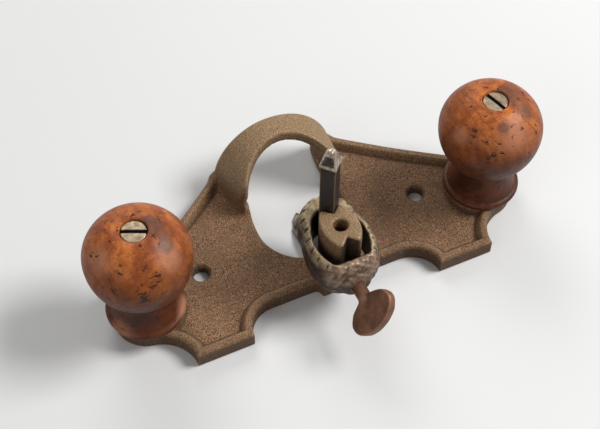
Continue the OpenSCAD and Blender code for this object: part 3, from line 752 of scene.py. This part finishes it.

# %% [markdown]
# ## The collar's finish
#
# The collar is a small rough casting that was plated and has lost most of it. Its ribs and rim are
# a pale greenish gold, while its lower part, its inside and the hollows between the ribs are painted
# nearly black as shade.

# %% Finish of the collar
def collar_finish():
    f = Finish("old_plated_casting")
    worn = f.attribute("worn") + 0.08 * (f.noise(600.0, 3.0) - 0.5)
    dents = f.noise(400.0, 3.0, 0.6)
    clouds = f.noise(110.0, 3.0, 0.6)
    # Below 32.5 mm the ring is painted dark as shade, rising to its pale colour at 36.8 mm.
    height = f.add("ShaderNodeSeparateXYZ", {0: f.place}, "Z") + 0.003 * (dents - 0.5)
    pale = dents.ramp(0.32, 0.70).blend(screen(112, 94, 68), screen(178, 158, 122))
    lower_shade = dents.ramp(0.32, 0.70).blend(screen(20, 13, 9), screen(48, 34, 24))
    pink = dents.ramp(0.32, 0.70).blend(screen(98, 74, 59), screen(180, 148, 124))
    colour = height.ramp(0.0325, 0.0368).blend(lower_shade, pale)
    colour = f.attribute("handled").ramp(0.0, 1.0, 0.0, 0.85).blend(colour, pink)
    colour = clouds.ramp(0.50, 0.72, 0.0, 0.5).blend(colour, screen(98, 71, 54))
    colour = worn.ramp(0.05, 0.26, 0.0, 0.70).blend(colour, screen(186, 166, 138))
    # Inner corners and the notches are painted nearly black as shade.
    colour = worn.ramp(-0.03, -0.18, 0.0, 0.92).blend(colour, screen(30, 22, 17))
    # The inside of the ring is painted nearly black as shade.
    colour = f.attribute("inside").ramp(0.0, 1.0, 0.0, 0.92).blend(colour, screen(22, 16, 12))
    rough = 0.54 - 0.14 * worn.ramp(0.05, 0.25) + 0.16 * (dents - 0.5)
    metal = worn.ramp(-0.05, 0.12, 0.05, 0.45)
    return f.surface({"Base Color": colour, "Roughness": rough, "Metallic": metal},
                     dents + 0.5 * f.noise(1500.0, 1.0), 0.00016)


collar_metal = collar_finish()
print("finish:", collar_metal.name)

# %% [markdown]
# ## The clamp collar
#
# The collar is an oval ring round the post and the shank. Its wall bulges outwards, a row of short
# notches crosses each edge, and a round boss at the back takes the thumbscrew. The notches repeat by
# angle, so each point only has to look at the nearest one. Those at the left of the back are worn.

# %% The clamp collar
collar_z, collar_mid = 18.9, 28.6
nose_r, nose_y, nose_outer_r, nose_outer_y = 9.0, -20.77, 13.0, -15.97
side_r, side_outer_r, side_x, side_y = 21.0, 25.0, 9.7, -28.5
collar_inner_back, collar_back, boss_end, bulge_r = -40.1, -44.7, -46.1, 20.8
thumb_z, thumb_bore_r, collar_boss_r = 25.4, 3.05, 6.0
notch_rise, notch_r, notch_half, notch_lean = 8.8, 0.9, 1.9, np.radians(30.0)
notch_in = bulge_r - np.sqrt(bulge_r ** 2 - notch_rise ** 2)


def notch_row(x, y, z, r, centre, step, first, last):
    """Distance to the nearest notch of a row that repeats every step degrees, leaning in over the edge."""
    angle = np.degrees(np.arctan2(y - centre[1], x - centre[0]))
    nearest = np.clip(np.round((angle - first) / step), 0, round((last - first) / step)) * step + first
    along = np.radians(angle - nearest) * r
    out = np.hypot(x - centre[0], y - centre[1]) - r + notch_in
    height = np.abs(z - collar_mid) - notch_rise
    depth = out * np.cos(notch_lean) + height * np.sin(notch_lean)
    length = height * np.cos(notch_lean) - out * np.sin(notch_lean)
    return np.hypot(np.hypot(along, depth), np.maximum(np.abs(length) - notch_half, 0.0)) - notch_r


def collar_opening(x, y):
    """Distance in plan to the hole for post and shank, a round nose and two wide arcs, below 0 inside."""
    a = np.abs(x)
    inner = soft_max(soft_max(np.hypot(a + side_x, y - side_y) - side_r, collar_inner_back - y, 1.5),
                     y - nose_y - nose_r / 4, 0.5)
    return soft_min(np.hypot(a, y - nose_y) - nose_r, inner, 0.8)


def collar_field(x, y, z):
    """The bulging ring with its boss, less the opening, the notches and the screw hole."""
    a = np.abs(x)
    rise = z - collar_mid
    draw_in = bulge_r - np.sqrt(np.maximum(bulge_r ** 2 - rise ** 2, 1.0))
    lumps = 0.14 * np.sin(1.15 * x + 0.4 * z) * np.sin(0.9 * y + 0.3 * x) * np.sin(0.8 * z + 1.0)
    lumps += 0.16 * ramp(y, -36.0, -42.0) * np.sin(1.9 * x + 0.7 * y) * np.sin(1.7 * z - 0.5 * x + 0.8 * y)
    to_nose = np.hypot(a, y - nose_outer_y)
    flank = np.hypot(a + side_x, y - side_y)
    sides = soft_max(flank - side_outer_r + draw_in, y - nose_outer_y, 0.5)
    sides = soft_max(sides, collar_back - y + 0.6 * draw_in, 4.0)
    body = soft_min(to_nose - nose_outer_r + draw_in, sides, 1.2)
    body = soft_max(body, np.abs(rise) - collar_mid + collar_z, 1.4) + lumps
    boss = soft_max(np.hypot(x, z - thumb_z) - collar_boss_r, boss_end - y, 1.8)
    body = soft_min(body, np.maximum(boss, y - collar_back - 3.0), 2.4)
    body = soft_max(body, -collar_opening(x, y), 1.2)
    nose_notch = notch_row(x, y, z, nose_outer_r, (0.0, nose_outer_y), 26.0, 12.0, 168.0)
    side_notch = notch_row(a, y, z, side_outer_r, (-side_x, side_y), 13.0, -39.0, 26.0)
    side_notch = side_notch + 0.45 * ramp(-x, 0.0, 4.0) * ramp(-y, 29.0, 35.0)
    body = soft_max(body, -np.minimum(nose_notch, side_notch), 0.5)
    bore = np.maximum(np.hypot(x, z - thumb_z) - thumb_bore_r, y - collar_inner_back - 2.0)
    return np.maximum(body, -bore)


points, faces = skin(collar_field, (-18.0, -48.0, 17.5), (18.0, -1.0, 39.5), 0.3)
x, y, z = points.T
# Points in the opening, below the top edge, are marked for painted shade inside the ring.
shade_mask = ramp(collar_opening(x, y), 1.0, 0.2) * ramp(z, 38.0, 36.4)
rubbed = ramp(y, -37.0, -41.5) * ramp(z, 24.5, 31.0)
make_piece("clamp_ring", points, faces, "collar", "clamp_collar", "collar_metal", collar_metal,
           worn=bend(collar_field, points, 0.8), inside=shade_mask, handled=rubbed)

# %% [markdown]
# ## The thumbscrew
#
# The thumbscrew is a steel stem that is forged out to a flat oval disc for thumb and finger. The disc
# is smooth and copper brown from handling, and its corners are rubbed pale.

# %% The thumbscrew
def screw_finish():
    f = Finish("brown_handled_steel")
    worn = f.attribute("worn") + 0.06 * (f.noise(500.0, 3.0) - 0.5)
    clouds = f.noise(160.0, 4.0, 0.6)
    fine = f.noise(1300.0, 2.0, 0.6)
    colour = clouds.ramp(0.35, 0.70).blend(screen(110, 74, 54), screen(144, 102, 76))
    colour = fine.ramp(0.45, 0.75, 0.0, 0.35).blend(colour, screen(84, 55, 40))
    colour = worn.ramp(0.05, 0.22, 0.0, 0.50).blend(colour, screen(176, 134, 106))
    # Inner corners, where the stem meets the disc, are painted dark as shade.
    colour = worn.ramp(-0.04, -0.20, 0.0, 0.85).blend(colour, screen(44, 32, 26))
    rough = 0.40 + 0.18 * (clouds - 0.5) + 0.10 * fine
    metal = worn.ramp(0.0, 0.2, 0.35, 0.7)
    return f.surface({"Base Color": colour, "Roughness": rough, "Metallic": metal},
                     fine + clouds, 0.00010)


disc_y, disc_wide, disc_long, disc_half = -59.8, 12.0, 7.6, 1.8
disc_turn = np.radians(-52.5)
stem_r, stem_tip_y, tip_r = 3.0, -35.1, 1.2


def thumbscrew_field(x, y, z):
    """A stem with a coned tip that runs out in a cone into a flat oval disc with soft corners."""
    up = z - thumb_z
    r = np.hypot(x, up)
    tip = (r - tip_r + y - stem_tip_y) / np.sqrt(2)
    stem = soft_max(soft_max(r - stem_r, y - stem_tip_y, 0.3), tip, 0.3)
    root = (r - stem_r + 0.7 * (disc_y + disc_long - y)) * 0.82
    stem = soft_max(stem, root, 0.8)
    across = np.sin(disc_turn) * x + np.cos(disc_turn) * up
    flat = np.cos(disc_turn) * x - np.sin(disc_turn) * up
    whole = np.hypot(flat / disc_wide, (y - disc_y) / disc_long)
    pace = np.maximum(np.hypot(flat / disc_wide ** 2, (y - disc_y) / disc_long ** 2), 1e-6)
    dents = 0.07 * np.sin(0.9 * flat + 0.5) * np.sin(0.8 * y)
    disc = soft_max(whole * (whole - 1.0) / pace, np.abs(across) - disc_half, 0.9) + dents
    return soft_min(disc, stem, 1.2)


points, faces = skin(thumbscrew_field, (-10.5, -69.0, 13.5), (10.5, -34.0, 37.5), 0.25)
make_piece("thumb_disc", points, faces, "thumbscrew", "thumbscrew", "screw_metal", screw_finish(),
           worn=bend(thumbscrew_field, points, 0.7))

# %% [markdown]
# ## The cutter
#
# The cutter was forged from square bar: the foot is bent forward and hammered to a pointed blade,
# and a bevel is ground on its two edges. The top was struck with a hammer for years, so its blunt
# pyramid is bright, with a burr at one corner, while the shank stayed dark. One face of the pyramid
# is painted darker as shade.

# %% The cutter
def cutter_finish():
    f = Finish("forged_steel")
    worn = f.attribute("worn") + 0.08 * (f.noise(500.0, 3.0) - 0.5)
    struck = f.attribute("struck")
    scale = f.noise(340.0, 4.0, 0.6)
    fine = f.noise(1400.0, 2.0, 0.6)
    colour = scale.ramp(0.34, 0.70).blend(screen(27, 20, 17), screen(48, 38, 32))
    colour = worn.ramp(0.06, 0.24, 0.0, 0.6).blend(colour, screen(136, 118, 100))
    bright = scale.ramp(0.35, 0.70).blend(screen(196, 184, 166), screen(122, 106, 90))
    colour = (struck - 0.35 * (scale - 0.5)).ramp(0.35, 0.65).blend(colour, bright)
    rough = 0.46 - 0.10 * struck + 0.16 * (scale - 0.5)
    metal = struck.ramp(0.0, 1.0, 0.30, 0.85)
    return f.surface({"Base Color": colour, "Roughness": rough, "Metallic": metal},
                     fine + 1.4 * scale, 0.00007)


shank_half, shank_y, cutter_z, cutter_h = 3.25, -16.46, 0.5, 81.2
head_half, head_h, band_h, tip_half = 3.7, 7.6, 3.0, 1.3
blade_reach, blade_half, blade_t, bend_h, bevel = 30.3, 5.8, 3.2, 12.0, np.radians(25.0)
shank_top = cutter_h - head_h
foot_len = blade_reach / 3
neck_way = np.array([foot_len, shank_half - blade_half]) / np.hypot(foot_len, blade_half - shank_half)


def cutter_field(x, y, z):
    """Square shank with a spread head, a bend, and a pointed blade with a ground bevel."""
    a, ahead_of, up = np.abs(x), y - shank_y, z - cutter_z
    p, q = (x + ahead_of) / np.sqrt(2), (ahead_of - x) / np.sqrt(2)
    half = np.interp(up, [0.0, shank_top - band_h, shank_top, shank_top + 0.6 * head_h, cutter_h],
                     [shank_half, shank_half, head_half, 0.65 * head_half, tip_half])
    dents = ramp(up, shank_top - 6.0, shank_top + 1.0) * (
        0.13 * np.sin(1.1 * x + 0.5 * z) * np.sin(1.0 * y - 0.6 * z) + 0.07 * np.sin(2.1 * x - 1.3 * z + y))
    burr = 0.8 * np.exp(-((up - shank_top + 0.2) / 1.3) ** 2 - (ahead_of / 2.0) ** 2) * ramp(x, 2.0, 4.8)
    corner = 0.25 + 1.1 * ramp(up, shank_top - 0.5, shank_top + 2.5)
    shank = soft_max(np.abs(p) - half, np.abs(q) - half, corner)
    shank = soft_max(shank, up - cutter_h, 1.0) - dents - burr
    shank = soft_max(shank, -up, 0.3)
    slant = ahead_of - blade_reach
    blade = soft_max(a - blade_half, (a - shank_half) * neck_way[0] + ahead_of * neck_way[1], 0.8)
    blade = soft_max(blade, (a + slant) / np.sqrt(2), 0.4)
    blade = np.maximum(np.maximum(blade, -ahead_of), -up)
    blade = soft_max(blade, up - blade_t, 0.5)
    blade = soft_max(blade, up * np.cos(bevel) + (a + slant) / np.sqrt(2) * np.sin(bevel), 0.15)
    knee = np.interp(ahead_of, [0.0, shank_half * np.sqrt(2), foot_len, foot_len + 3.0],
                     [bend_h, 6.0, blade_t, 0.0])
    knee = np.maximum(np.maximum(a - shank_half, (up - knee) * 0.7), np.maximum(-ahead_of, -up))
    return soft_max(soft_min(shank, soft_min(blade, knee, 1.6), 1.6), -up, 0.1)


points, faces = skin(cutter_field, (-7.5, -23.5, -0.5), (7.5, 15.5, 83.5), 0.34)
x, ahead_of, up = points[:, 0], points[:, 1] - shank_y, points[:, 2] - cutter_z
ground = (np.abs(x) + ahead_of - blade_reach) / np.sqrt(2)
p, q = (x + ahead_of) / np.sqrt(2), (ahead_of - x) / np.sqrt(2)
# One face of the head, towards the left front, is painted darker as shade.
shaded_face = ramp(-p - np.abs(q), -0.3, 0.7) * ramp(up, cutter_h - 0.6, cutter_h - 2.6)
shaded_face = shaded_face * ramp(up, shank_top - 0.2, shank_top + 1.4)
struck = ramp(up, shank_top - 1.4, shank_top - 0.4) * (1.0 - 0.61 * shaded_face)
struck = np.maximum(struck, 0.45 * ramp(ground, -7.6, -6.4) * ramp(up, 3.4, 2.9))
make_piece("forged_cutter", points, faces, "cutter", "cutter", "cutter_metal", cutter_finish(),
           worn=bend(cutter_field, points, 0.8), struck=struck)

# %% [markdown]
# ## Floor and light
#
# The tool stands on a plain pale floor under a broad soft light from the right, with a weaker one
# behind it, one on the left and a dim sky. The floor and the sky are pale where the camera or a
# reflection looks at them. For light that bounces back on to the tool the floor is a plain grey, as
# a bench would be, so the undersides stay in shade.

# %% Floor and light
def seen_by(f):
    """1 for what the camera, a reflection or clear glass looks at, and 0 for bounced light."""
    names = ("Camera", "Glossy", "Transmission")
    kinds = [f.add("ShaderNodeLightPath", {}, "Is %s Ray" % name) for name in names]
    return f.add("ShaderNodeMath", {0: kinds[0] + kinds[1], 1: kinds[2]}, operation="ADD", use_clamp=True)


def floor_finish():
    f = Finish("pale_floor")
    cloud = f.noise(3.0, 2.0)
    pale = cloud.ramp(0.2, 0.8).blend(screen(234, 234, 233), screen(238, 238, 237))
    colour = seen_by(f).blend(screen(120, 120, 121), pale)
    return f.surface({"Base Color": colour, "Roughness": 0.75 + 0.1 * cloud})


sheet = bpy.data.meshes.new("floor")
sheet.from_pydata([(-4, -4, 0), (4, -4, 0), (4, 4, 0), (-4, 4, 0)], [], [(0, 1, 2, 3)])
sheet.materials.append(floor_finish())
floor = bpy.data.objects.new("floor", sheet)
bpy.context.scene.collection.objects.link(floor)
floor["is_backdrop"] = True


lamp_aim = (0.0, 0.0, 0.03)


def soft_light(name, place, size, power):
    """A square light of the given size in metres and power in watts that faces the tool."""
    lamp = bpy.data.lights.new(name, "AREA")
    lamp.size, lamp.energy = size, power
    light = bpy.data.objects.new(name, lamp)
    bpy.context.scene.collection.objects.link(light)
    light.location = place
    light.rotation_euler = (Vector(place) - Vector(lamp_aim)).to_track_quat("Z", "Y").to_euler()


soft_light("key", (0.80, -0.25, 0.95), 0.5, 12.5)
soft_light("back", (0.10, 0.90, 0.80), 0.6, 4.0)
soft_light("fill", (-0.90, -0.40, 0.60), 0.7, 1.8)
world = bpy.data.worlds.new("studio")
world.use_nodes = True
sky = Nodes(world.node_tree)
plain = sky.add("ShaderNodeBackground", {"Color": (1, 1, 1, 1), "Strength": 0.22})
pale = sky.add("ShaderNodeBackground", {"Color": (1, 1, 1, 1), "Strength": 0.6})
choice = sky.add("ShaderNodeMixShader", {0: seen_by(sky), 1: plain, 2: pale})
sky.add("ShaderNodeOutputWorld", {"Surface": choice})
bpy.context.scene.world = world
bpy.context.scene.view_settings.view_transform = "Standard"

# %% [markdown]
# ## Measuring the result
#
# The box of the finished pieces is printed in millimetres, because looks may round a size but never
# change it.

# %% Print the box of the finished pieces
low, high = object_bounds()
print("finished", [round(v * 1000, 1) for v in (*low, *high)])
